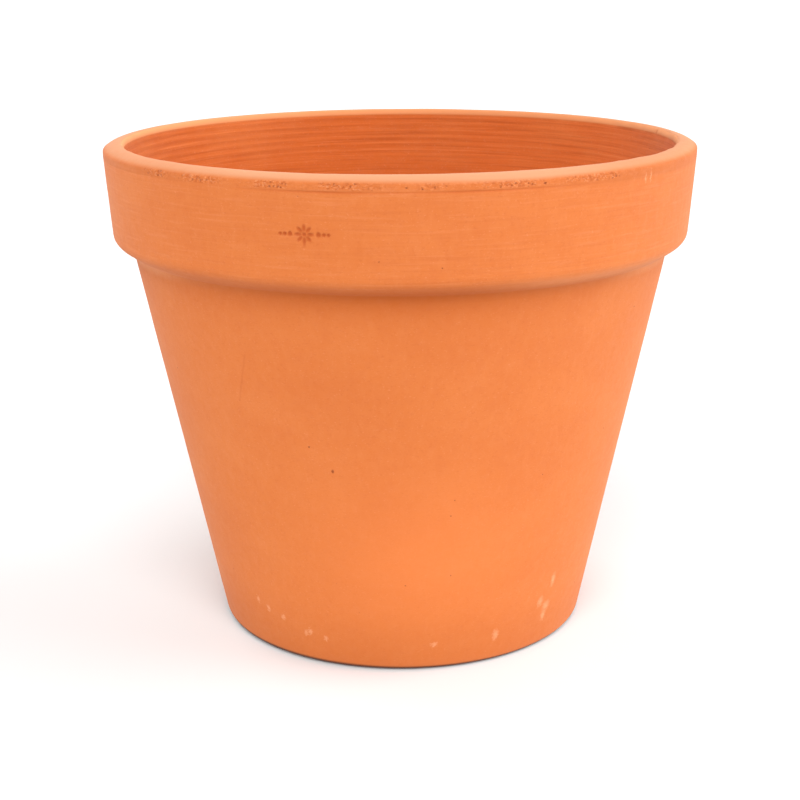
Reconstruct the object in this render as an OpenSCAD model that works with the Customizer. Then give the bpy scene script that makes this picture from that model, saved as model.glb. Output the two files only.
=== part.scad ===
// Terracotta flower pot, thrown and fired in one piece.
// Origin at the centre of the underside, +Z up, millimetres.

/* [Overall] */
// Diameter over the widest point of the rim
rim_d = 460; // [400:1:560]
// Height from the underside to the top of the lip
height = 388; // [320:1:480]
// Diameter of the wall carried down to the underside, before the foot is rounded
foot_d = 293; // [220:1:345]

/* [Wall] */
// Thickness of the side wall, measured level
wall_t = 13; // [9:0.5:18]
// Thickness of the floor
floor_t = 20; // [14:0.5:30]
// Radius of the foot's outer edge
foot_round = 8; // [3:0.5:20]
// Radius where the wall runs into the floor inside
floor_round = 25; // [8:0.5:40]

/* [Collar] */
// Depth of the collar, from the lip down to the neck under it
collar_h = 83.5; // [60:0.5:110]
// How far the collar's lower edge stands out from the neck
collar_step = 15; // [10:0.5:20]
// How far the collar's underside slopes up towards its edge
collar_rise = 10; // [4:0.5:20]
// How much the collar narrows on each side from the rim down to its lower edge
collar_draft = 5; // [0:0.5:12]
// Radius of the collar's lower edge
collar_round = 10.5; // [3:0.5:12]

/* [Lip] */
// Thickness of the rim from its outer face to its inner edge
lip_w = 16; // [14:0.5:24]
// Width of the lip's crown, from its highest line out to the outer face
crown_w = 13; // [6:0.5:13]
// How far the crown falls towards its outer corner
crown_fall = 4.8; // [2:0.2:6]
// Radius of the crown's outer corner
crown_round = 2; // [1:0.2:2.4]
// Height of the round on the rim's inner edge
lip_in_h = 6; // [2:0.5:8]
// Height of the upright band under the crown's corner
band_h = 4; // [3:0.5:8]

/* [Turned groove] */
// Distance of the groove's middle below the upright band
groove_gap = 1.5; // [1.5:0.5:12]
// Height of the groove
groove_w = 1.6; // [1:0.2:2.6]
// How deep the groove is cut
groove_t = 0.5; // [0.2:0.1:1.5]

/* [Drain hole] */
// Diameter of the hole through the floor
drain_d = 36; // [20:1:60]
// Radius of the hole's upper and lower edges
drain_round = 2; // [0.5:0.5:4]

/* [Hidden] */
$fn = 96;
clay = "#ee8146";

rim_r = rim_d / 2;
neck_z = height - collar_h;
collar_z = neck_z + collar_rise;
collar_r = rim_r - collar_draft;
neck_r = collar_r - collar_step;
corner_z = height - crown_fall;
band_z = corner_z - band_h;
groove_z = band_z - groove_gap;
inner_r = rim_r - lip_w;
apex_r = rim_r - crown_w;
crown_turn = 2 * atan2(crown_fall, crown_w);
crown_r = crown_w / sin(crown_turn);
drain_r = drain_d / 2;

// Radius on the outside of the side wall at height z
function wall_r(z) = foot_d / 2 + (neck_r - foot_d / 2) * z / neck_z;
// Radius on the outside of the collar at height z
function collar_face_r(z) = collar_r + collar_draft * (z - collar_z) / (band_z - collar_z);

function unit(v) = v / norm(v);
// Points along an ellipse about c, from angle a0 to a1
function arc(c, rx, rz, a0, a1, steps) =
    [for (i = [0:steps]) let (a = a0 + (a1 - a0) * i / steps) c + [rx * cos(a), rz * sin(a)]];
// Points that round corner b, between a and c, with radius r
function rounded(a, b, c, r, steps) =
    let (u = unit(a - b),
         v = unit(c - b),
         half = acos(u * v) / 2,
         mid = b + unit(u + v) * r / sin(half),
         p = b + u * r / tan(half) - mid,
         q = b + v * r / tan(half) - mid,
         a0 = atan2(p[1], p[0]),
         turn = atan2(p[0] * q[1] - p[1] * q[0], p * q))
    arc(mid, r, r, a0, a0 + turn, steps);

// Half section from the drain hole out along the underside, up the outside and down the inside
module section() {
    neck = [neck_r, neck_z];
    collar_low = [collar_r, collar_z];
    band_low = [rim_r, band_z];
    crown_corner = [rim_r, corner_z];
    // The crown stops short of its corner, which the corner's round takes over
    crown = arc([apex_r, height - crown_r], crown_r, crown_r, 90 - 0.9 * crown_turn, 90, 8);
    knee = [neck_r - wall_t, neck_z];
    corner = [wall_r(floor_t) - wall_t, floor_t];
    polygon(concat(
        arc([drain_r + drain_round, drain_round], drain_round, drain_round, 180, 270, 4),
        rounded([drain_r, 0], [foot_d / 2, 0], neck, foot_round, 10),
        [neck],
        rounded(neck, collar_low, band_low, collar_round, 10),
        [[collar_face_r(groove_z - groove_w / 2), groove_z - groove_w / 2],
         [collar_face_r(groove_z) - groove_t, groove_z],
         [collar_face_r(groove_z + groove_w / 2), groove_z + groove_w / 2],
         band_low],
        rounded(band_low, crown_corner, crown[0], crown_round, 4),
        crown,
        arc([apex_r, height - lip_in_h], apex_r - inner_r, lip_in_h, 105, 180, 5),
        [knee],
        rounded(knee, corner, [drain_r, floor_t], floor_round, 10),
        arc([drain_r + drain_round, floor_t - drain_round], drain_round, drain_round, 90, 180, 4)));
}

module pot() {
    color(clay) rotate_extrude() section();
}

pot();
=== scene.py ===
import math
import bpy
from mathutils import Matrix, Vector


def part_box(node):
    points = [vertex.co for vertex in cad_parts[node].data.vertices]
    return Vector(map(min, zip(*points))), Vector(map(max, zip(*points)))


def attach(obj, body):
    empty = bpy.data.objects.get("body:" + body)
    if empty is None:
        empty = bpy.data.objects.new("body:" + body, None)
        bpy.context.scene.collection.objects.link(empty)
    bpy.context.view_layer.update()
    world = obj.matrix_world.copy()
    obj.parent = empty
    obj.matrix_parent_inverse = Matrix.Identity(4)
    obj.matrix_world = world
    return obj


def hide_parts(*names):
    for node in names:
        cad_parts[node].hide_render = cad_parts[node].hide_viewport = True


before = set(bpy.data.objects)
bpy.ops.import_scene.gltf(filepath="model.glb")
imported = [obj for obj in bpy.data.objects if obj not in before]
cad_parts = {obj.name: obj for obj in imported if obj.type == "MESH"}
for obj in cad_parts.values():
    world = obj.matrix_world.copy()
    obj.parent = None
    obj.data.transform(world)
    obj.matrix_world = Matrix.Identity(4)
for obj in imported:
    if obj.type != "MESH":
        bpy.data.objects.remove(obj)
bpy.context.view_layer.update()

from types import SimpleNamespace

import bpy
import numpy as np
from mathutils import Matrix

mm = 0.001
fullTurn = 2.0 * math.pi
potLow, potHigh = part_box("pot")
rimRadius = (potHigh[0] - potLow[0]) / 2 / mm
potHeight = (potHigh[2] - potLow[2]) / mm

# Camera: stands in front of the pot and looks down on it a little
viewpoint = {
    "distance": 1261.0,  # mm from the pot's axis
    "height": 532.0,  # mm above the ground
    "tilt": 15.89,  # degrees down
    "swing": 0.047,  # degrees, to the left of the axis
    "roll": -0.32,  # degrees, the pot leans a touch in the frame
    "lens": 71.9,  # mm, on a 36 mm sensor
}


def makeCamera(v):
    data = bpy.data.cameras.new("camera")
    data.lens = v["lens"]
    data.sensor_width = 36.0
    data.clip_end = 50.0
    camera = bpy.data.objects.new("camera", data)
    turn = Matrix.Rotation(math.radians(v["swing"]), 4, "Z")
    tilt = Matrix.Rotation(math.radians(90.0 - v["tilt"]), 4, "X")
    roll = Matrix.Rotation(math.radians(v["roll"]), 4, "Z")
    place = Matrix.Translation((0.0, -v["distance"] * mm, v["height"] * mm))
    camera.matrix_world = place @ turn @ tilt @ roll
    bpy.context.scene.collection.objects.link(camera)
    bpy.context.scene.camera = camera


makeCamera(viewpoint)
print("camera placed")


# Smooth random lumps, the same on every run: a lattice of hashed values blended between cells
def latticeValue(ix, iy, iz, seed):
    n = (ix * 73856093) ^ (iy * 19349663) ^ (iz * 83492791) ^ (seed * 2654435761)
    n = (n ^ (n >> 13)) * 1274126177
    n = n ^ (n >> 16)
    return (n & 0xFFFFFF) / 0x7FFFFF - 1.0


def lumps(points, size, seed):
    p = points / size
    cell = np.floor(p).astype(np.int64)
    t = p - cell
    t = t * t * t * (t * (t * 6.0 - 15.0) + 10.0)
    total = np.zeros(len(points))
    for dx in (0, 1):
        for dy in (0, 1):
            for dz in (0, 1):
                share = (np.abs(1 - dx - t[:, 0]) * np.abs(1 - dy - t[:, 1])
                         * np.abs(1 - dz - t[:, 2]))
                total += share * latticeValue(cell[:, 0] + dx, cell[:, 1] + dy, cell[:, 2] + dz, seed)
    return total


def smoothStep(low, high, value):
    t = np.clip((value - low) / (high - low), 0.0, 1.0)
    return t * t * (3.0 - 2.0 * t)


# The section, in mm, the same sizes as the frame's pot
potShape = {
    "footRadius": 146.5,  # where the wall's line meets the ground
    "footRound": 8.0,
    "wall": 13.0,
    "floor": 20.0,
    "floorRound": 25.0,
    "collarHeight": 83.5,
    "collarStep": 15.0,
    "collarRise": 10.0,
    "collarDraft": 5.0,
    "collarRound": 10.5,
    "rim": 16.0,  # from the outer face to the inner edge
    "crown": 13.0,
    "crownFall": 4.8,
    "crownRound": 2.0,
    "innerRound": 6.0,
    "band": 4.0,  # upright strip under the crown's corner
    "drainRadius": 18.0,
    "drainRound": 2.0,
}

# Mesh: columns are the points round the pot on the torn band, halved at each level after it
meshSize = {
    "columns": 1152,
    "stampColumns": 4.0,  # how much closer they stand at the stamp
    "stampSpread": 7.0,  # degrees
    # mm between rows
    "wallRow": 6.0,
    "collarRow": 3.4,
    "collarUnderRow": 2.6,
    "lineRow": 0.7,  # at the fine turned lines
    "stampRow": 0.75,
    "grooveRow": 0.35,
    "bandRow": 0.7,
    "ringRow": 1.05,
    "lowRingRow": 5.0,
    "floorRow": 2.4,
    "drainRow": 4.0,
}

# Pressed motif on the collar: a small flower between two rows of dots, in mm and degrees
stamp = {
    "angle": -16.2,
    "height": 349.0,
    "petals": 8,
    "petalFrom": 1.9,  # from the flower's middle
    "petalTo": 6.6,
    "petalWide": 2.3,
    "heart": 1.4,
    "dots": ((9.9, 1.6), (13.6, 1.35), (16.8, 1.1)),  # distance from the middle, radius
    "soft": 0.5,  # how far the pressed edges slope
    "depth": 1.0,
}


# Points from start to end, start left out, about a step apart
def linePoints(start, end, step):
    count = max(1, round(math.dist(start, end) / step))
    return [(start[0] + (end[0] - start[0]) * i / count, start[1] + (end[1] - start[1]) * i / count)
            for i in range(1, count + 1)]


def arcPoints(centre, radiusX, radiusZ, fromDegrees, toDegrees, steps):
    angles = [math.radians(fromDegrees + (toDegrees - fromDegrees) * i / steps) for i in range(steps + 1)]
    return [(centre[0] + radiusX * math.cos(a), centre[1] + radiusZ * math.sin(a)) for a in angles]


# Points of the round that takes the corner off, between the points before and after it
def roundedCorner(before, corner, after, radius, steps):
    b = np.array(corner)
    u = np.array(before) - b
    v = np.array(after) - b
    u, v = u / np.linalg.norm(u), v / np.linalg.norm(v)
    half = math.acos(float(u @ v)) / 2.0
    middle = b + (u + v) / np.linalg.norm(u + v) * radius / math.sin(half)
    p = b + u * radius / math.tan(half) - middle
    q = b + v * radius / math.tan(half) - middle
    start = math.degrees(math.atan2(p[1], p[0]))
    turn = math.degrees(math.atan2(p[0] * q[1] - p[1] * q[0], float(p @ q)))
    return arcPoints(middle, radius, radius, start, start + turn, steps)


# Rows of the lathe, each (radius, height, level): from the drain hole out, up and down inside again
bandLevel, collarLevel, wallLevel, plainLevel = 0, 1, 2, 3


def sectionRows(s, m):
    neckZ = potHeight - s["collarHeight"]
    collarR = rimRadius - s["collarDraft"]
    collarZ = neckZ + s["collarRise"]
    neckR = collarR - s["collarStep"]
    cornerZ = potHeight - s["crownFall"]
    bandZ = cornerZ - s["band"]
    innerR = rimRadius - s["rim"]
    apexR = rimRadius - s["crown"]
    turn = 2.0 * math.degrees(math.atan2(s["crownFall"], s["crown"]))
    crownR = s["crown"] / math.sin(math.radians(turn))
    rows = []

    def wallAt(z):
        return s["footRadius"] + (neckR - s["footRadius"]) * z / neckZ

    def faceAt(z):
        return collarR + s["collarDraft"] * (z - collarZ) / (bandZ - collarZ)

    def add(points, level):
        for point in points:
            if not rows or math.dist(point, rows[-1][:2]) > 0.05:
                rows.append((point[0], point[1], level))

    neck = (neckR, neckZ)
    knee = (neckR - s["wall"], neckZ)
    floorCorner = (wallAt(s["floor"]) - s["wall"], s["floor"])
    drainFoot = (s["drainRadius"] + s["drainRound"], s["drainRound"])
    drainTop = (drainFoot[0], s["floor"] - s["drainRound"])
    crown = arcPoints((apexR, potHeight - crownR), crownR, crownR, 90.0 - 0.9 * turn, 90.0, 9)

    # under the pot and up the wall
    foot = roundedCorner((0.0, 0.0), (s["footRadius"], 0.0), neck, s["footRound"], 9)
    add(arcPoints(drainFoot, s["drainRound"], s["drainRound"], 180.0, 270.0, 4), plainLevel)
    add(linePoints(rows[-1][:2], foot[0], m["wallRow"]), plainLevel)
    add(foot, wallLevel)
    add(linePoints(foot[-1], neck, m["wallRow"])[:-1], wallLevel)
    add([neck], wallLevel)
    # collar, with closer rows where the fine turned lines and the stamp are
    collar = roundedCorner(neck, (collarR, collarZ), (rimRadius, bandZ), s["collarRound"], 9)
    add(linePoints(neck, collar[0], m["collarUnderRow"]), collarLevel)
    add(collar, collarLevel)
    stampLow = stamp["height"] - stamp["petalTo"] - 1.5
    stampHigh = stamp["height"] + stamp["petalTo"] + 1.5
    linesHigh = max(turning["lines"]) + 2.0
    heights = [collar[-1][1]]
    grooveLow = bandZ - 3.1
    while heights[-1] < grooveLow - 3.9:
        z = heights[-1]
        if z < linesHigh:
            step = m["lineRow"]
        elif stampLow <= z < stampHigh:
            step = m["stampRow"]
        else:
            step = m["collarRow"]
        heights.append(z + step)
    add([(faceAt(z), z) for z in heights[1:]], collarLevel)
    add([(faceAt(z), z) for z in np.arange(grooveLow, bandZ - 0.5, m["grooveRow"])], bandLevel)
    add(linePoints((rimRadius, bandZ - 0.3), (rimRadius, cornerZ - 1.2), m["bandRow"]), bandLevel)
    add(roundedCorner((rimRadius, bandZ), (rimRadius, cornerZ), crown[0], s["crownRound"], 4), bandLevel)
    add(crown, collarLevel)
    # inner edge of the rim and down inside
    edgeMiddle = (apexR, potHeight - s["innerRound"])
    innerEdge = arcPoints(edgeMiddle, apexR - innerR, s["innerRound"], 90.0, 180.0, 9)
    add(innerEdge[1:], collarLevel)
    innerTop = innerEdge[-1]
    slant = (knee[0] - innerTop[0]) / (knee[1] - innerTop[1])
    ringDrop = throwing["ringZone"] + 3.0
    ringEnd = (innerTop[0] - slant * ringDrop, innerTop[1] - ringDrop)
    add(linePoints(innerTop, ringEnd, m["ringRow"]), wallLevel)
    add(linePoints(ringEnd, knee, m["lowRingRow"]), wallLevel)
    inner = roundedCorner(knee, floorCorner, (0.0, s["floor"]), s["floorRound"], 8)
    add(linePoints(knee, inner[0], m["wallRow"]), plainLevel)
    add(inner, plainLevel)
    add(linePoints(inner[-1], (drainTop[0], s["floor"]), m["floorRow"]), plainLevel)
    add(arcPoints(drainTop, s["drainRound"], s["drainRound"], 90.0, 180.0, 4), plainLevel)
    drainEnd = (s["drainRadius"], s["drainRound"])
    add(linePoints(rows[-1][:2], drainEnd, m["drainRow"])[:-1], plainLevel)
    return rows


# Angles of the columns, from the back round, closer together at the stamp
def columnAngles(m):
    fine = np.linspace(-180.0, 180.0, 20001)
    near = np.exp(-((fine - stamp["angle"]) / m["stampSpread"]) ** 4)
    share = np.cumsum(1.0 + m["stampColumns"] * near)
    share = (share - share[0]) / (share[-1] - share[0])
    return np.interp(np.arange(m["columns"]) / m["columns"], share, fine)


# Joins the rows of a lathe, with one wide face to two narrow ones where the level changes
def latheMesh(name, rows, angles):
    radians = np.radians(angles)
    starts, points, rowOf = [], [], []
    for i, (radius, height, level) in enumerate(rows):
        turn = radians[::2 ** level]
        starts.append(sum(len(p) for p in points))
        points.append(np.column_stack([radius * np.sin(turn), -radius * np.cos(turn),
                                       np.full(len(turn), height)]))
        rowOf.append(np.full(len(turn), i))
    faces = []
    for i in range(len(rows)):
        j = (i + 1) % len(rows)
        a, b = starts[i], starts[j]
        na, nb = len(points[i]), len(points[j])
        if na == nb:
            faces += [(a + k, a + (k + 1) % na, b + (k + 1) % nb, b + k) for k in range(na)]
        elif na > nb:
            step = na // nb
            for k in range(nb):
                run = [a + (k * step + n) % na for n in range(step + 1)]
                faces.append(tuple(run) + (b + (k + 1) % nb, b + k))
        else:
            step = nb // na
            for k in range(na):
                run = [b + (k * step + n) % nb for n in range(step, -1, -1)]
                faces.append((a + k, a + (k + 1) % na) + tuple(run))
    mesh = bpy.data.meshes.new(name)
    mesh.from_pydata(np.vstack(points).tolist(), [], faces)
    return mesh, np.vstack(points), np.concatenate(rowOf)


# Marks that throwing the pot leaves, in mm
throwing = {
    "ringPitch": 5.8,  # rings inside the rim
    "ringDepth": 0.34,
    "ringStart": 7.2,  # first crest, below the rim
    "ringZone": 39.0,  # how far down the rings reach
    "ringWander": 1.1,
    "wanderLength": 140.0,
    "leftLoss": 0.2,  # share of their depth that the rings lose on the left
    "rightLoss": 0.7,
    "lowRingDepth": 0.10,  # broad rings under them
    "scraperStep": 0.35,  # where the rings end
    "floorSpiral": 0.5,
    "spiralPitch": 9.5,
    "undersideRings": 0.12,
    "undersidePitch": 7.0,
    "outOfRound": 0.25,
}

# Marks that turning and trimming the outside leave, in mm and degrees round from the front
turning = {
    "lines": (318.6, 321.2, 323.4),  # heights of the fine lines low on the collar
    "lineDepth": 0.16,
    "lineWidth": 0.45,
    "grooveDrop": 1.5,  # below the band
    "grooveWidth": 0.75,
    "grooveDepth": 0.6,
    "grooveMiddle": 2.0,  # degrees, where the groove is deepest
    "grooveReach": 31.0,  # degrees to each side
    "grooveLeast": 0.06,  # share of its depth that is left all the way round
    "tearDepth": 0.4,  # torn clay on the band
    "tearSizes": (2.6, 5.5),
    "tearPatch": 21.0,
    "tearLeast": 0.2,  # between the patches
    "tearGap": (45.0, 54.0, 98.0, 112.0),  # degrees, where it fades out and comes back on both sides
    "tearGapLoss": 0.85,
}

# Unevenness, wear, painted shade and painted light, in mm and degrees round from the front
wear = {
    "lumpSizes": (34.0, 15.0),
    "lumpHeight": 0.10,
    "rimLumpSizes": (13.0, 6.5),  # along the rim's inner edge
    "rimLumpHeight": 0.22,
    "rimLumpsRight": 1.6,  # how much more of them there is on the right
    "neckShadeDown": 12.0,  # how far the painted shade under the collar reaches
    "neckShadeUp": 7.0,
    "neckShadeReach": 40.0,  # degrees, the painted shade is strongest at the front
    "neckShadeLeast": 0.12,  # share that is left all the way round
    "crownEdge": 3.2,  # width over which the crown's pale tone, rubbed wear and painted highlight, fades out
    "highlightLapHeight": 0.9,  # how far the painted highlight laps over the corner at the front right
    "highlightLapMiddle": 20.0,
    "highlightLapReach": 15.0,
    "crownHighlightSides": (25.0, 50.0, 100.0, 130.0),  # degrees, where the painted highlight weakens at the sides and comes back
    "crownHighlightSideLoss": 0.3,
    "footShadeLine": 3.7,  # height of the painted shade line where the pot meets the ground
    "footShadeSlant": 1.1,  # how much higher it is on the left
    "footShadeSoft": 0.9,
    "darkerBelow": 60.0,  # height up to which the wall grows darker towards the bottom
    "bandShadeRight": (20.0, 45.0),  # degrees, where the strip of painted shade on the band, under the crown's corner, starts and is full
    "bandShadeLeft": (-32.0, -50.0),
    "bandShadeBack": (100.0, 150.0),  # where it clears again behind
    "paintedFrontLight": {"angle": 5.0, "height": 100.0, "wide": 26.0, "tall": 62.0},  # painted light: a brighter patch on the front of the body
    "highlightHeights": (0.5, 6.5),  # painted highlight above the neck: in the corner, and on the collar's lower edge
    "highlightWidths": (2.5, 4.0),
    "cornerHighlight": (42.0, 60.0),  # degrees, where it comes in on both sides
    "edgeHighlight": 0.8,
    "edgeHighlightSides": (12.0, 32.0, 80.0, 140.0),  # degrees, where it comes in and goes out, on the right
}

# Nicks in the edges: degrees round from the front, drop below the rim, size and depth in mm
nicks = (
    (-77.0, 3.4, 2.8, 0.9),
    (103.0, 3.6, 2.4, 0.5),
    (-84.0, 5.0, 2.2, 0.4),
    (146.0, 5.4, 3.2, 0.8),
    (-151.0, 5.2, 2.4, 0.6),
)


# How deep the motif is pressed, from 0 to 1, at distances in mm round and up from its middle
def stampPress(around, up):
    s = stamp
    fromMiddle = np.hypot(around, up)
    turn = np.arctan2(up, around)
    petalTurn = fullTurn / s["petals"]
    offPetal = (turn + petalTurn / 2.0) % petalTurn - petalTurn / 2.0
    along = fromMiddle * np.cos(offPetal)
    across = fromMiddle * np.sin(offPetal)
    half = (s["petalTo"] - s["petalFrom"]) / 2.0
    petal = np.hypot((along - s["petalFrom"] - half) / half, across / (s["petalWide"] / 2.0))
    press = smoothStep(1.0 + s["soft"], 1.0 - s["soft"], petal)
    shapes = [(0.0, s["heart"])] + [(side * x, r) for x, r in s["dots"] for side in (-1.0, 1.0)]
    for x, r in shapes:
        fromDot = np.hypot(around - x, up)
        press = np.maximum(press, smoothStep(r + s["soft"] / 2.0, r - s["soft"] / 2.0, fromDot))
    return press


# Where each point of the plain lathe lies on the pot
def placesOnPot(points, rows, rowOf):
    s = potShape
    at = SimpleNamespace(points=points)
    at.radius = np.array([r[0] for r in rows])[rowOf]
    at.height = np.array([r[1] for r in rows])[rowOf]
    at.turn = np.arctan2(points[:, 0], -points[:, 1])
    at.degrees = np.degrees(at.turn)
    at.side = abs(at.degrees)
    at.right = np.sin(at.turn)
    at.drop = potHeight - at.height
    at.level = points * [1.0, 1.0, 0.0]  # the same all the way up
    at.neckZ = potHeight - s["collarHeight"]
    neckR = rimRadius - s["collarDraft"] - s["collarStep"]
    wallLine = s["footRadius"] + (neckR - s["footRadius"]) * at.height / at.neckZ
    middle = np.minimum(wallLine, rimRadius - s["rim"] + 1.0) - s["wall"] / 2.0 * (at.height < at.neckZ)
    at.inside = (at.radius < middle) & (at.height > s["floor"] + 3.0)
    at.outside = ~at.inside & (at.height > 1.0) & (at.radius > 100.0)
    at.collar = at.outside & (at.height > at.neckZ + 4.0) & (at.drop > 4.0)
    return at


# Throwing rings, which wander a little and fade downwards and to the sides
def ringHeight(at):
    t = throwing
    zone = t["ringZone"]
    wander = lumps(at.level, t["wanderLength"], 3) * t["ringWander"] + 0.35 * np.sin(at.turn + 0.7)
    phase = (at.drop - t["ringStart"] + wander) / t["ringPitch"] * fullTurn
    strength = 0.8 + 0.45 * lumps(at.points * [1.0, 1.0, 3.0], 70.0, 4)
    strength *= 1.0 - t["rightLoss"] * smoothStep(0.1, 0.8, at.right) - t["leftLoss"] * smoothStep(
        -0.3, -0.9, at.right)
    fade = smoothStep(3.0, 6.0, at.drop) * smoothStep(zone + 3.0, zone - 5.0, at.drop)
    wave = np.cos(phase) + 0.25 * np.cos(2.0 * phase + 0.9)
    low = smoothStep(zone - 3.0, zone + 6.0, at.drop) * np.cos(phase * 0.3)
    rings = fade * strength * t["ringDepth"] * wave
    rings += low * t["lowRingDepth"] * (0.7 + 0.6 * lumps(at.points, 90.0, 5))
    rings += t["scraperStep"] * smoothStep(zone - 1.0, zone + 2.5, at.drop)
    return at.inside * rings


# Spiral on the floor inside, and rings underneath
def floorHeight(at):
    t = throwing
    onFloor = (at.height > 10.0) & (at.height < potShape["floor"] + 4.0) & (at.radius < 118.0) & ~at.outside
    edge = smoothStep(20.0, 30.0, at.radius) * smoothStep(116.0, 100.0, at.radius)
    spiral = np.cos(at.radius / t["spiralPitch"] * fullTurn + at.turn)
    under = (at.height < 0.5) & (at.radius < 140.0)
    ringsUnder = 0.5 + 0.5 * np.cos(at.radius / t["undersidePitch"] * fullTurn)
    return (onFloor * edge * t["floorSpiral"] * spiral
            - under * t["undersideRings"] * ringsUnder * smoothStep(20.0, 28.0, at.radius))


def lineDepth(at):
    depth = np.zeros(len(at.points))
    for i, z in enumerate(turning["lines"]):
        waver = z + 0.35 * lumps(at.level, 160.0, 10 + i)
        depth += turning["lineDepth"] * np.exp(-((at.height - waver) / turning["lineWidth"]) ** 2)
    return at.collar * depth


# Share of the groove's depth at each point, and of the tear in the band above it
def grooveAndTear(at):
    t = turning
    grooveZ = potHeight - potShape["crownFall"] - potShape["band"] - t["grooveDrop"]
    around = np.exp(-((at.degrees - t["grooveMiddle"]) / t["grooveReach"]) ** 4)
    share = 0.75 + 0.35 * lumps(at.level, 60.0, 21)
    share *= t["grooveLeast"] + (1.0 - t["grooveLeast"]) * around
    groove = at.collar * share * np.exp(-((at.height - grooveZ) / t["grooveWidth"]) ** 2)
    band = at.outside * smoothStep(grooveZ + 1.0, grooveZ + 2.2, at.height) * smoothStep(3.6, 4.6, at.drop)
    patches = smoothStep(-0.45, 0.1, lumps(at.level, t["tearPatch"], 33))
    torn = band * (t["tearLeast"] + (1.0 - t["tearLeast"]) * patches)
    fadeOut, faded, backIn, backFull = t["tearGap"]
    gap = smoothStep(fadeOut, faded, at.side) * smoothStep(backFull, backIn, at.side)
    torn *= 1.0 - t["tearGapLoss"] * gap
    crumbs = np.maximum(0.0, lumps(at.points, t["tearSizes"][0], 31))
    crumbs += 0.6 * np.maximum(0.0, lumps(at.points, t["tearSizes"][1], 32))
    return groove, torn, torn * np.minimum(1.0, 1.6 * crumbs)


# Soft lumps everywhere but where the pot stands, more on the rim's inner edge
def lumpHeight(at):
    w = wear
    broad = lumps(at.points, w["lumpSizes"][0], 41) + 0.5 * lumps(at.points, w["lumpSizes"][1], 42)
    edgeR = rimRadius - potShape["rim"] + 1.0
    innerEdge = np.exp(-((at.radius - edgeR) / 2.2) ** 2) * (at.drop < 6.0)
    innerEdge *= 1.0 + w["rimLumpsRight"] * smoothStep(0.55, 0.95, at.right)
    rim = lumps(at.points, w["rimLumpSizes"][0], 43) + 0.7 * lumps(at.points, w["rimLumpSizes"][1], 44)
    return (at.height > 3.0) * w["lumpHeight"] * broad + innerEdge * w["rimLumpHeight"] * rim


def nickDepth(at):
    depth = np.zeros(len(at.points))
    for angle, down, size, deep in nicks:
        edgeR = rimRadius - (potShape["rim"] - 0.8 if down < 4.0 else 0.4)
        a = math.radians(angle)
        middle = np.array([edgeR * math.sin(a), -edgeR * math.cos(a), potHeight - down])
        near = np.linalg.norm(at.points - middle, axis=1) / size
        ragged = near * (1.0 + 0.35 * lumps(at.points, 2.4, 45))
        depth = np.maximum(depth, smoothStep(1.0, 0.35, ragged) * deep)
    return depth


def motifPress(at):
    around = np.radians(at.degrees - stamp["angle"]) * at.radius
    up = at.height - stamp["height"]
    near = at.collar & (np.abs(around) < 24.0) & (np.abs(up) < 12.0)
    press = np.zeros(len(at.points))
    press[near] = stampPress(around[near], up[near])
    return press


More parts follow.
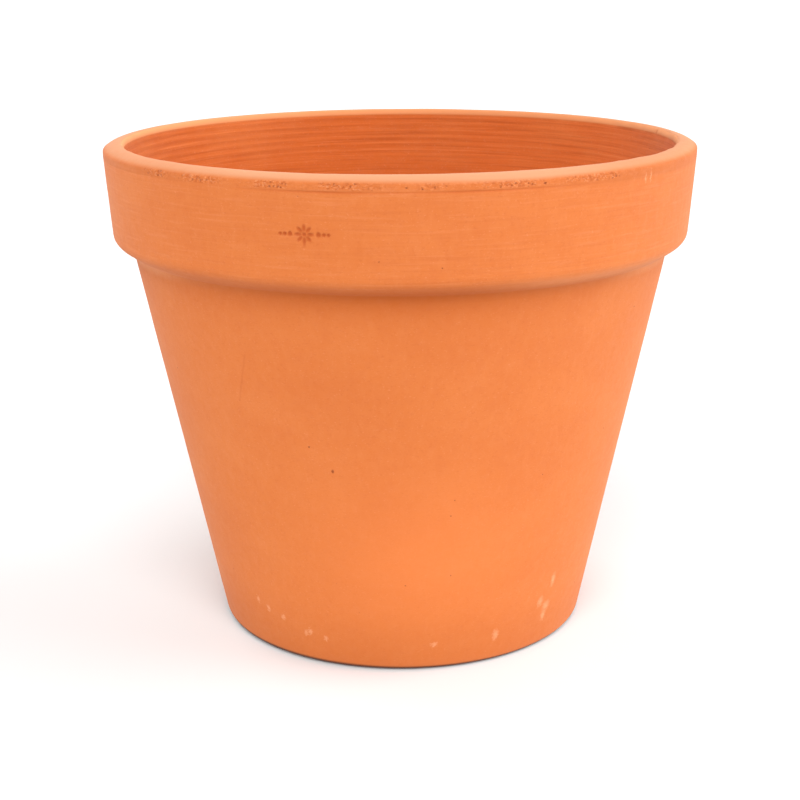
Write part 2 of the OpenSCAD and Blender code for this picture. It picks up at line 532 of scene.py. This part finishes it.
# Shares from 0 to 1 that say where each finish, painted shade and painted light belongs
def finishMarks(at, groove, torn, tear, press, chipped):
    s = potShape
    w = wear
    # Painted shade under the collar, strongest at the front and fading down the wall
    below = np.maximum(0.0, at.neckZ - at.height)
    above = np.maximum(0.0, at.height - at.neckZ)
    neck = at.outside * np.exp(-below / w["neckShadeDown"]) * np.exp(-(above / w["neckShadeUp"]) ** 2)
    neck *= w["neckShadeLeast"] + (1.0 - w["neckShadeLeast"]) * np.exp(-(at.degrees / w["neckShadeReach"]) ** 2)

    # The crown's pale tone: rubbed wear, and a painted highlight that laps over the corner at the front
    # right and weakens at the sides
    lap = w["highlightLapHeight"] * np.exp(-((at.degrees - w["highlightLapMiddle"]) / w["highlightLapReach"]) ** 2)
    crownEnd = s["crownFall"] + lap
    weaken, weak, backIn, backFull = w["crownHighlightSides"]
    sides = smoothStep(weaken, weak, at.side) * smoothStep(backFull, backIn, at.side)
    crown = smoothStep(crownEnd, crownEnd - w["crownEdge"], at.drop) * (at.drop < s["crownFall"] + s["band"])
    crown *= 1.0 - w["crownHighlightSideLoss"] * sides
    # Painted light on the rim's inner round, just inside the crown
    lip = (at.radius < rimRadius - s["crown"] - 0.3) * smoothStep(0.1, 0.8, at.drop)
    lip = lip * smoothStep(5.2, 3.4, at.drop)

    # Painted shade: a dark line round the foot where it meets the ground, higher on the left
    footShadeLine = w["footShadeLine"] - w["footShadeSlant"] * at.right
    foot = smoothStep(s["footRadius"] - 9.0, s["footRadius"] - 4.0, at.radius)
    foot *= smoothStep(footShadeLine + w["footShadeSoft"], footShadeLine - w["footShadeSoft"], at.height)
    # The wall darker towards the bottom, and a strip of painted shade on the band under the crown's corner
    # at the sides
    strip = at.outside * smoothStep(13.0, 10.5, at.drop) * smoothStep(3.2, 5.0, at.drop)
    strip *= smoothStep(w["bandShadeBack"][1], w["bandShadeBack"][0], at.side)
    rightStrip = smoothStep(*w["bandShadeRight"], at.degrees)
    leftStrip = smoothStep(*w["bandShadeLeft"], at.degrees) * (at.drop < 9.5)
    darkerLowAndBandShade = at.outside * smoothStep(w["darkerBelow"], 5.0, at.height) + strip * (rightStrip + leftStrip)

    # Painted light: a brighter patch on the front of the body
    f = w["paintedFrontLight"]
    paintedFrontLight = np.exp(-((at.degrees - f["angle"]) / f["wide"]) ** 2)
    paintedFrontLight *= np.exp(-((at.height - f["height"]) / f["tall"]) ** 2)
    # Painted highlight above the neck: in the corner at the sides, and on the collar's lower edge on the
    # right
    fromNeck = at.height - at.neckZ
    corner = np.exp(-((fromNeck - w["highlightHeights"][0]) / w["highlightWidths"][0]) ** 2)
    edge = np.exp(-((fromNeck - w["highlightHeights"][1]) / w["highlightWidths"][1]) ** 2)
    comesIn, isIn, goesOut, isOut = w["edgeHighlightSides"]
    edge *= smoothStep(comesIn, isIn, at.degrees) * smoothStep(isOut, goesOut, at.degrees)
    paintedNeckHighlight = corner * smoothStep(*w["cornerHighlight"], at.side) + w["edgeHighlight"] * edge
    return {
        "inside": at.inside * smoothStep(3.8, s["innerRound"] + 0.2, at.drop),
        "rightward": 0.5 + 0.5 * at.right,
        "outside": at.outside & (at.height > 6.0),
        "collar": at.collar,
        "torn": torn,
        # Painted shade in the pressed motif, the groove and the torn band
        "paintedRecessShade": np.minimum(1.0, press + 0.6 * groove + 0.35 * tear),
        "neck": neck,
        "crown": crown,
        "lip": lip,
        "chipped": np.minimum(1.0, chipped / 0.6),
        "foot": foot,
        "darkerLowAndBandShade": np.minimum(1.0, darkerLowAndBandShade),
        "paintedFrontLight": at.outside * paintedFrontLight,
        "paintedNeckHighlight": at.outside * np.minimum(1.0, paintedNeckHighlight),
    }


# Pushes the plain lathe in and out along its normals, and says where each finish, painted shade and painted
# light belongs
def shapeSurface(points, normals, rows, rowOf):
    at = placesOnPot(points, rows, rowOf)
    groove, torn, tear = grooveAndTear(at)
    chipped = nickDepth(at)
    press = motifPress(at)
    push = ringHeight(at) + floorHeight(at) + lumpHeight(at) - lineDepth(at) - chipped
    push -= groove * turning["grooveDepth"] + tear * turning["tearDepth"] + press * stamp["depth"]
    moved = points + normals * push[:, None]
    # the whole pot is a touch out of round, more towards the rim
    wobble = np.cos(2.0 * at.turn + 0.6) + 0.5 * np.cos(3.0 * at.turn + 2.1)
    wobble *= throwing["outOfRound"] * at.height / potHeight * (at.radius > 100.0)
    moved[:, 0] += np.sin(at.turn) * wobble
    moved[:, 1] -= np.cos(at.turn) * wobble
    return moved, finishMarks(at, groove, torn, tear, press, chipped)


# Which way is out at each point of the plain lathe
def sectionNormals(rows, points, rowOf):
    p = np.array([r[:2] for r in rows])
    along = np.roll(p, -1, axis=0) - np.roll(p, 1, axis=0)
    along /= np.linalg.norm(along, axis=1)[:, None]
    out = np.column_stack([along[:, 1], -along[:, 0]])[rowOf]
    turn = np.arctan2(points[:, 0], -points[:, 1])
    return np.column_stack([out[:, 0] * np.sin(turn), -out[:, 0] * np.cos(turn), out[:, 1]])


def makePot():
    rows = sectionRows(potShape, meshSize)
    mesh, points, rowOf = latheMesh("pot_body", rows, columnAngles(meshSize))
    moved, marks = shapeSurface(points, sectionNormals(rows, points, rowOf), rows, rowOf)
    moved[:, 2] = np.maximum(moved[:, 2], 0.0)
    mesh.vertices.foreach_set("co", (moved * mm).ravel())
    for name, values in marks.items():
        layer = mesh.attributes.new(name, "FLOAT", "POINT")
        layer.data.foreach_set("value", values.astype(np.float32))
    mesh.polygons.foreach_set("use_smooth", [True] * len(mesh.polygons))
    mesh.validate()
    mesh.update()
    pot = bpy.data.objects.new("pot_body", mesh)
    bpy.context.scene.collection.objects.link(pot)
    print("pot made:", len(mesh.vertices), "points,", len(mesh.polygons), "faces,", len(rows), "rows")
    return pot


potBody = makePot()
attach(potBody, "root")
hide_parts("pot")


def hexToLinear(code):
    values = [int(code[i:i + 2], 16) / 255.0 for i in (1, 3, 5)]
    return [v / 12.92 if v <= 0.04045 else ((v + 0.055) / 1.055) ** 2.4 for v in values] + [1.0]


# Adds a node, sets its values and links what is given as a socket
def node(tree, kind, inputs=(), **settings):
    made = tree.nodes.new(kind)
    for key, value in settings.items():
        setattr(made, key, value)
    for key, value in dict(inputs).items():
        if isinstance(value, bpy.types.NodeSocket):
            tree.links.new(value, made.inputs[key])
        else:
            made.inputs[key].default_value = value
    return made


# Terracotta: red earthenware, thrown, turned and fired bare. Dry and matt with a slight sheen of dust,
# slow changes of tone from the kiln, level lines from turning, grit, small pits and pale lime specks, and
# painted shade and painted light
terracotta = {
    "clay": "#c86f34",
    "roughness": (0.78, 0.95),
    "ior": 1.5,
    "specular": 0.3,  # dry clay gives back less than glazed clay
    "dryness": 0.6,  # spread of the matt reflection
    "dust": 0.045,
    "dustSpread": 0.5,
    # Tones laid over the clay in turn. Size is in mm round the pot and up it, reach is where on the
    # pattern the tone starts and is full, and most is how much of it shows. One with a mark keeps to it
    "tones": (
        {"size": (95.0, 70.0), "reach": (0.42, 0.66), "most": 0.18, "colour": "#bd602c"},
        {"size": (60.0, 48.0), "reach": (0.48, 0.70), "most": 0.18, "colour": "#d37f45"},
        {"size": (9.0, 12.0), "reach": (0.48, 0.72), "most": 0.14, "colour": "#bc5f2a", "mark": "outside"},
        {"size": (5.0, 16.0), "reach": (0.52, 0.75), "most": 0.13, "colour": "#d3824d", "mark": "outside"},
        {"size": (45.0, 1.7), "reach": (0.50, 0.74), "most": 0.20, "colour": "#b65a27", "mark": "collar"},
        {"size": (38.0, 2.4), "reach": (0.54, 0.76), "most": 0.22, "colour": "#d7895a", "mark": "collar"},
        {"size": (2.2, 1.4), "reach": (0.58, 0.70), "most": 0.22, "colour": "#b25625"},
        {"size": (1.7, 1.2), "reach": (0.62, 0.74), "most": 0.20, "colour": "#df986e"},
        {"size": (2.2, 1.2), "reach": (0.52, 0.60), "most": 0.45, "colour": "#963f0f", "mark": "torn"},
        {"size": (1.9, 1.0), "reach": (0.54, 0.62), "most": 0.40, "colour": "#e4a072", "mark": "torn"},
    ),
    "insideShadeColours": ("#bd5a18", "#d0672a"),  # painted shade: the inside darker than the outside clay, darker on the left and lighter on the right
    "insideStreaks": (
        {"size": (60.0, 1.7), "reach": (0.46, 0.70), "most": 0.50, "colour": "#ad4d15"},
        {"size": (75.0, 1.5), "reach": (0.54, 0.74), "most": 0.40, "colour": "#dc7c42"},
    ),
    # Finishes, painted shade and painted light laid over the tones in turn: mark, colour and how much shows
    # at most
    "finishes": (
        ("crown", "#cc9068", 0.95),  # rubbed pale, and a painted highlight strongest at the front
        # painted light on the rim's inner round
        ("lip", "#dd9460", 1.0),
        ("chipped", "#b85c29", 0.7),
        # painted light on the front of the body
        ("paintedFrontLight", "#da7b3e", 0.55),
        # painted shade under the collar
        ("neck", "#ab4e0c", 0.85),
        # painted highlight in the corner under the collar and on its lower edge
        ("paintedNeckHighlight", "#e0925c", 0.5),
        # painted shade in the pressed motif, the groove and the torn band
        ("paintedRecessShade", "#a6430e", 0.68),
        # darker towards the bottom, and painted shade on the band at the sides
        ("darkerLowAndBandShade", "#a8551f", 0.3),
        # painted shade round the foot
        ("foot", "#4a2009", 0.9),
    ),
    # Pits, where grit has come out, over the whole pot and on the torn band: spacing and radius in mm,
    # and the share of places that have one
    "plainPits": (17.0, 0.55, 0.30),
    "bandPits": (2.7, 0.85, 0.38),
    "bandPitStrength": 0.75,
    "pitFade": (1.2, 0.5),  # radii from the middle where such a pit starts and is full
    "placedPitFade": (1.25, 0.6),  # the same for the placed ones
    "pitTint": 0.75,
    "pitColour": "#7d2f08",
    "limeFade": (2.5, 0.0),  # and for the lime specks
    "limeTint": 0.36,
    "limeColour": "#eebd93",
    # Specks and pits have ragged outlines: the pattern's size in mm, and how far apart it can move
    # places round the pot, across it and up it
    "raggedSize": 1.6,
    "pitRagged": (1.2, 1.2, 1.2),
    "limeRagged": (4.4, 4.4, 8.0),
    # Bump: lumps in mm round the pot and up it, and heights. Real grit is nearer 0.2 mm across and is
    # drawn coarser so that it shows
    "gritSize": (0.8, 0.8),
    "gritHeight": 0.02,
    "skinSize": (6.0, 6.0),
    "skinHeight": 0.07,
    "skinReach": (0.3, 0.7),  # where on the skin's pattern the roughness starts and is full
    "streakSize": (45.0, 1.1),
    "streakHeight": 0.03,
    "pitDepth": 0.4,
}

# Pits and lime specks that stand out: degrees round from the front, height, half width and half
# height in mm
pits = (
    (-15.7, 170.0, 1.0, 1.5),
    (-20.8, 188.0, 0.7, 0.7),
    (7.0, 327.0, 0.7, 0.5),
    (24.6, 380.5, 1.1, 0.9),
    (21.5, 381.2, 0.7, 0.6),
    (1.0, 381.0, 1.1, 0.5),
    (3.6, 380.0, 0.8, 0.7),
    (128.0, 211.0, 0.9, 1.2),
    (-152.0, 120.0, 1.0, 0.8),
)
limeSpecks = (
    (-71.0, 53.0, 1.0, 2.6),
    (-46.0, 44.0, 0.9, 1.8),
    (-42.0, 39.0, 0.9, 1.5),
    (-36.5, 35.0, 1.2, 1.2),
    (-27.5, 28.0, 1.1, 1.8),
    (-29.0, 26.0, 1.0, 1.4),
    (-22.5, 24.0, 1.0, 1.1),
    (9.0, 23.0, 1.4, 1.2),
    (28.0, 24.0, 1.4, 3.0),
    (43.5, 42.0, 1.6, 2.6),
    (46.5, 36.0, 2.2, 2.4),
    (46.0, 28.0, 1.4, 3.0),
    (47.5, 58.0, 1.3, 3.6),
    (49.5, 377.0, 0.5, 2.8),
    (48.0, 376.0, 0.5, 2.2),
    (118.0, 30.0, 1.6, 2.6),
    (124.0, 41.0, 1.0, 1.6),
    (171.0, 26.0, 1.3, 2.2),
    (-133.0, 36.0, 1.5, 2.0),
)

# Faint scrape down the wall: its ends in degrees and mm, and the half widths where it starts and is full
scrape = {
    "top": (-33.6, 254.0),
    "bottom": (-37.4, 217.0),
    "halfWidth": 0.8,
    "fade": (1.6, 0.4),
    "most": 0.16,
    "colour": "#a6430e",
}


# A place on the outside, in metres, from degrees round from the front and height in mm
def onWall(angle, height):
    s = potShape
    neckZ = potHeight - s["collarHeight"]
    neckR = rimRadius - s["collarDraft"] - s["collarStep"]
    if height < neckZ:
        radius = s["footRadius"] + (neckR - s["footRadius"]) * height / neckZ
    else:
        radius = rimRadius - s["collarDraft"] * (potHeight - height) / s["collarHeight"]
    a = math.radians(angle)
    return (radius * mm * math.sin(a), -radius * mm * math.cos(a), height * mm)


def makeTerracotta(t):
    material = bpy.data.materials.new("terracotta_fired_unglazed")
    material.use_nodes = True
    tree = material.node_tree
    tree.nodes.clear()
    where = node(tree, "ShaderNodeTexCoord").outputs["Object"]
    names = ["inside", "rightward", "outside", "collar", "torn"] + [finish[0] for finish in t["finishes"]]
    marks = {name: node(tree, "ShaderNodeAttribute", attribute_name=name).outputs["Fac"] for name in names}

    # Place along the section, so that level lines run round walls, floor and underside alike
    flat = node(tree, "ShaderNodeVectorMath", {0: where, 1: (1.0, 1.0, 0.0)}, operation="MULTIPLY")
    outFrom = node(tree, "ShaderNodeVectorMath", {0: flat.outputs["Vector"]}, operation="LENGTH")
    split = node(tree, "ShaderNodeSeparateXYZ", {"Vector": where})
    along = node(tree, "ShaderNodeMath", {
        0: split.outputs["Z"], 1: outFrom.outputs["Value"]}, operation="ADD")
    lathe = node(tree, "ShaderNodeCombineXYZ", {
        "X": split.outputs["X"], "Y": split.outputs["Y"], "Z": along.outputs["Value"]}).outputs["Vector"]

    # A noise whose lumps are size[0] mm round the pot and size[1] mm up it
    def pattern(size, seed, detail=2.0):
        scaled = node(tree, "ShaderNodeVectorMath", {
            0: lathe, 1: (1.0 / (size[0] * mm), 1.0 / (size[0] * mm), 1.0 / (size[1] * mm)),
            2: (seed * 3.7, seed * 5.1, seed * 2.3)}, operation="MULTIPLY_ADD")
        return node(tree, "ShaderNodeTexNoise", {
            "Vector": scaled.outputs["Vector"], "Scale": 1.0, "Detail": detail}).outputs["Fac"]

    # Lays a tone over the colour so far, kept to a mark if there is one
    def lay(below, tone, seed, mark):
        share = node(tree, "ShaderNodeMapRange", {
            "Value": pattern(tone["size"], seed), "From Min": tone["reach"][0],
            "From Max": tone["reach"][1], "To Max": tone["most"]}).outputs["Result"]
        if mark:
            share = node(tree, "ShaderNodeMath", {0: share, 1: mark}, operation="MULTIPLY").outputs["Value"]
        return node(tree, "ShaderNodeMix", {0: share, 6: below, 7: hexToLinear(tone["colour"])},
                    data_type="RGBA").outputs[2]

    # The inside in a darker copy of the clay as painted shade, darker on the left and lighter on the right
    # as painted shade and light
    insideShadedLeftColour, insideLitRightColour = [hexToLinear(code) for code in t["insideShadeColours"]]
    inner = node(tree, "ShaderNodeMix", {0: marks["rightward"], 6: insideShadedLeftColour, 7: insideLitRightColour},
                 data_type="RGBA").outputs[2]
    for i, streak in enumerate(t["insideStreaks"]):
        inner = lay(inner, streak, 20 + i, None)
    colour = node(tree, "ShaderNodeMix", {0: marks["inside"], 6: hexToLinear(t["clay"]), 7: inner},
                  data_type="RGBA").outputs[2]
    for i, tone in enumerate(t["tones"]):
        colour = lay(colour, tone, i, marks.get(tone.get("mark")))
    # Finishes, painted shade and painted light, over the tones
    for name, code, most in t["finishes"]:
        share = node(tree, "ShaderNodeMath", {0: marks[name], 1: most}, operation="MULTIPLY")
        colour = node(tree, "ShaderNodeMix", {0: share.outputs["Value"], 6: colour, 7: hexToLinear(code)},
                      data_type="RGBA").outputs[2]

    # Places moved by a fine noise, so that specks and pits have no smooth outline
    noise = node(tree, "ShaderNodeTexNoise", {
        "Vector": where, "Scale": 1.0 / (t["raggedSize"] * mm), "Detail": 2.0})
    centred = node(tree, "ShaderNodeVectorMath", {0: noise.outputs["Color"], 1: (0.5, 0.5, 0.5)},
                   operation="SUBTRACT").outputs["Vector"]
    pitStray, limeStray = [[s * mm for s in t[key]] for key in ("pitRagged", "limeRagged")]
    pitPlace = node(tree, "ShaderNodeVectorMath", {0: centred, 1: pitStray, 2: where},
                    operation="MULTIPLY_ADD").outputs["Vector"]
    limePlace = node(tree, "ShaderNodeVectorMath", {0: centred, 1: limeStray, 2: where},
                     operation="MULTIPLY_ADD").outputs["Vector"]

    # The strongest of a set of specks at each place, from 0 to 1
    def speckled(specks, place, fade):
        total = None
        for angle, height, wide, tall in specks:
            x, y, z = onWall(angle, height)
            squeeze = (1.0 / (wide * mm), 1.0 / (wide * mm), 1.0 / (tall * mm))
            offset = node(tree, "ShaderNodeVectorMath", {
                0: place, 1: squeeze, 2: (-x * squeeze[0], -y * squeeze[1], -z * squeeze[2])},
                operation="MULTIPLY_ADD")
            far = node(tree, "ShaderNodeVectorMath", {0: offset.outputs["Vector"]}, operation="LENGTH")
            speck = node(tree, "ShaderNodeMapRange", {
                "Value": far.outputs["Value"], "From Min": fade[0], "From Max": fade[1]}).outputs["Result"]
            if total is None:
                total = speck
            else:
                both = node(tree, "ShaderNodeMath", {0: total, 1: speck}, operation="MAXIMUM")
                total = both.outputs["Value"]
        return total

    # Pits scattered one to a cell, in a share of the cells
    def scatteredPits(spacing, radius, share):
        cells = node(tree, "ShaderNodeTexVoronoi", {"Vector": pitPlace, "Scale": 1.0 / (spacing * mm)})
        dot = node(tree, "ShaderNodeMapRange", {
            "Value": cells.outputs["Distance"], "From Min": t["pitFade"][0] * radius / spacing,
            "From Max": t["pitFade"][1] * radius / spacing}).outputs["Result"]
        chosen = node(tree, "ShaderNodeSeparateColor", {"Color": cells.outputs["Color"]}).outputs["Red"]
        here = node(tree, "ShaderNodeMath", {0: chosen, 1: share}, operation="LESS_THAN").outputs["Value"]
        return node(tree, "ShaderNodeMath", {0: dot, 1: here}, operation="MULTIPLY").outputs["Value"]

    specks = speckled(limeSpecks, limePlace, t["limeFade"])
    limeShare = node(tree, "ShaderNodeMath", {0: specks, 1: t["limeTint"]}, operation="MULTIPLY")
    colour = node(tree, "ShaderNodeMix", {
        0: limeShare.outputs["Value"], 6: colour, 7: hexToLinear(t["limeColour"])},
        data_type="RGBA").outputs[2]

    onBand = node(tree, "ShaderNodeMath", {0: marks["torn"], 1: t["bandPitStrength"]}, operation="MULTIPLY")
    bandPits = node(tree, "ShaderNodeMath", {0: scatteredPits(*t["bandPits"]), 1: onBand.outputs["Value"]},
                    operation="MULTIPLY")
    allPits = scatteredPits(*t["plainPits"])
    for more in (bandPits.outputs["Value"], speckled(pits, pitPlace, t["placedPitFade"])):
        allPits = node(tree, "ShaderNodeMath", {0: allPits, 1: more}, operation="MAXIMUM").outputs["Value"]
    pitShare = node(tree, "ShaderNodeMath", {0: allPits, 1: t["pitTint"]}, operation="MULTIPLY")
    colour = node(tree, "ShaderNodeMix", {
        0: pitShare.outputs["Value"], 6: colour, 7: hexToLinear(t["pitColour"])},
        data_type="RGBA").outputs[2]

    # The scrape: how far each place is from the line between its ends
    start = onWall(*scrape["top"])
    end = onWall(*scrape["bottom"])
    length = math.dist(start, end)
    direction = tuple((e - s) / length for s, e in zip(start, end))
    offset = node(tree, "ShaderNodeVectorMath", {
        0: pitPlace, 1: start}, operation="SUBTRACT").outputs["Vector"]
    reach = node(tree, "ShaderNodeVectorMath", {0: offset, 1: direction}, operation="DOT_PRODUCT")
    reach = node(tree, "ShaderNodeMapRange", {
        "Value": reach.outputs["Value"], "From Max": length, "To Max": length}).outputs["Result"]
    nearest = node(tree, "ShaderNodeVectorMath", {0: direction, "Scale": reach}, operation="SCALE")
    gap = node(tree, "ShaderNodeVectorMath", {
        0: offset, 1: nearest.outputs["Vector"]}, operation="DISTANCE")
    outer, core = [share * scrape["halfWidth"] * mm for share in scrape["fade"]]
    scraped = node(tree, "ShaderNodeMapRange", {
        "Value": gap.outputs["Value"], "From Min": outer, "From Max": core,
        "To Max": scrape["most"]}).outputs["Result"]
    colour = node(tree, "ShaderNodeMix", {0: scraped, 6: colour, 7: hexToLinear(scrape["colour"])},
                  data_type="RGBA").outputs[2]

    # Bump, as a height in mm
    grit = pattern(t["gritSize"], 41, 3.0)
    skin = pattern(t["skinSize"], 42, 3.0)
    streaks = pattern(t["streakSize"], 43, 3.0)
    height = node(tree, "ShaderNodeMath", {
        0: grit, 1: t["gritHeight"]}, operation="MULTIPLY").outputs["Value"]
    for layer, tall in ((skin, t["skinHeight"]), (streaks, t["streakHeight"]), (allPits, -t["pitDepth"])):
        height = node(tree, "ShaderNodeMath", {0: layer, 1: tall, 2: height},
                      operation="MULTIPLY_ADD").outputs["Value"]
    bump = node(tree, "ShaderNodeBump", {"Height": height, "Distance": mm})
    rough = node(tree, "ShaderNodeMapRange", {
        "Value": skin, "From Min": t["skinReach"][0], "From Max": t["skinReach"][1],
        "To Min": t["roughness"][0], "To Max": t["roughness"][1]}).outputs["Result"]
    surface = node(tree, "ShaderNodeBsdfPrincipled", {
        "Base Color": colour, "Roughness": rough, "IOR": t["ior"], "Diffuse Roughness": t["dryness"],
        "Specular IOR Level": t["specular"], "Sheen Weight": t["dust"], "Sheen Roughness": t["dustSpread"],
        "Normal": bump.outputs["Normal"]})
    node(tree, "ShaderNodeOutputMaterial", {"Surface": surface.outputs["BSDF"]})
    return material


potBody.data.materials.append(makeTerracotta(terracotta))
print("terracotta made")

# Studio: white ground, an even sky and four wide soft lights
studio = {
    "ground": "#e6e6e6",
    "groundHalf": 40.0,  # metres from its middle to each side
    "skyStrength": 0.5,
    "spread": 50.0,  # degrees across each light
    # degrees round from the front, degrees up, strength
    "lights": {
        "front_light": (0.0, 38.0, 2.95),
        "right_light": (90.0, 20.0, 2.46),
        "left_back_light": (-138.0, 22.0, 1.2),
        "right_back_light": (140.0, 20.0, 0.5),
    },
}


def makeGround(s):
    side = s["groundHalf"]
    mesh = bpy.data.meshes.new("ground")
    corners = [(-side, -side, 0.0), (side, -side, 0.0), (side, side, 0.0), (-side, side, 0.0)]
    mesh.from_pydata(corners, [], [(0, 1, 2, 3)])
    ground = bpy.data.objects.new("ground", mesh)
    bpy.context.scene.collection.objects.link(ground)
    material = bpy.data.materials.new("paper_white_matt")
    material.use_nodes = True
    surface = material.node_tree.nodes["Principled BSDF"]
    surface.inputs["Base Color"].default_value = hexToLinear(s["ground"])
    surface.inputs["Roughness"].default_value = 1.0
    surface.inputs["Specular IOR Level"].default_value = 0.0
    mesh.materials.append(material)


def makeLight(name, light, spread):
    around, up, strength = light
    data = bpy.data.lights.new(name, "SUN")
    data.energy = strength
    data.angle = math.radians(spread)
    lamp = bpy.data.objects.new(name, data)
    turn = Matrix.Rotation(math.radians(around), 4, "Z")
    lean = Matrix.Rotation(math.radians(90.0 - up), 4, "X")
    lamp.matrix_world = turn @ lean
    bpy.context.scene.collection.objects.link(lamp)


def makeStudio(s):
    makeGround(s)
    for name, light in s["lights"].items():
        makeLight(name, light, s["spread"])
    world = bpy.data.worlds.new("studio")
    world.use_nodes = True
    sky = world.node_tree.nodes["Background"]
    sky.inputs["Color"].default_value = (1.0, 1.0, 1.0, 1.0)
    sky.inputs["Strength"].default_value = s["skyStrength"]
    bpy.context.scene.world = world
    bpy.context.scene.view_settings.view_transform = "Standard"


makeStudio(studio)
print("studio made")
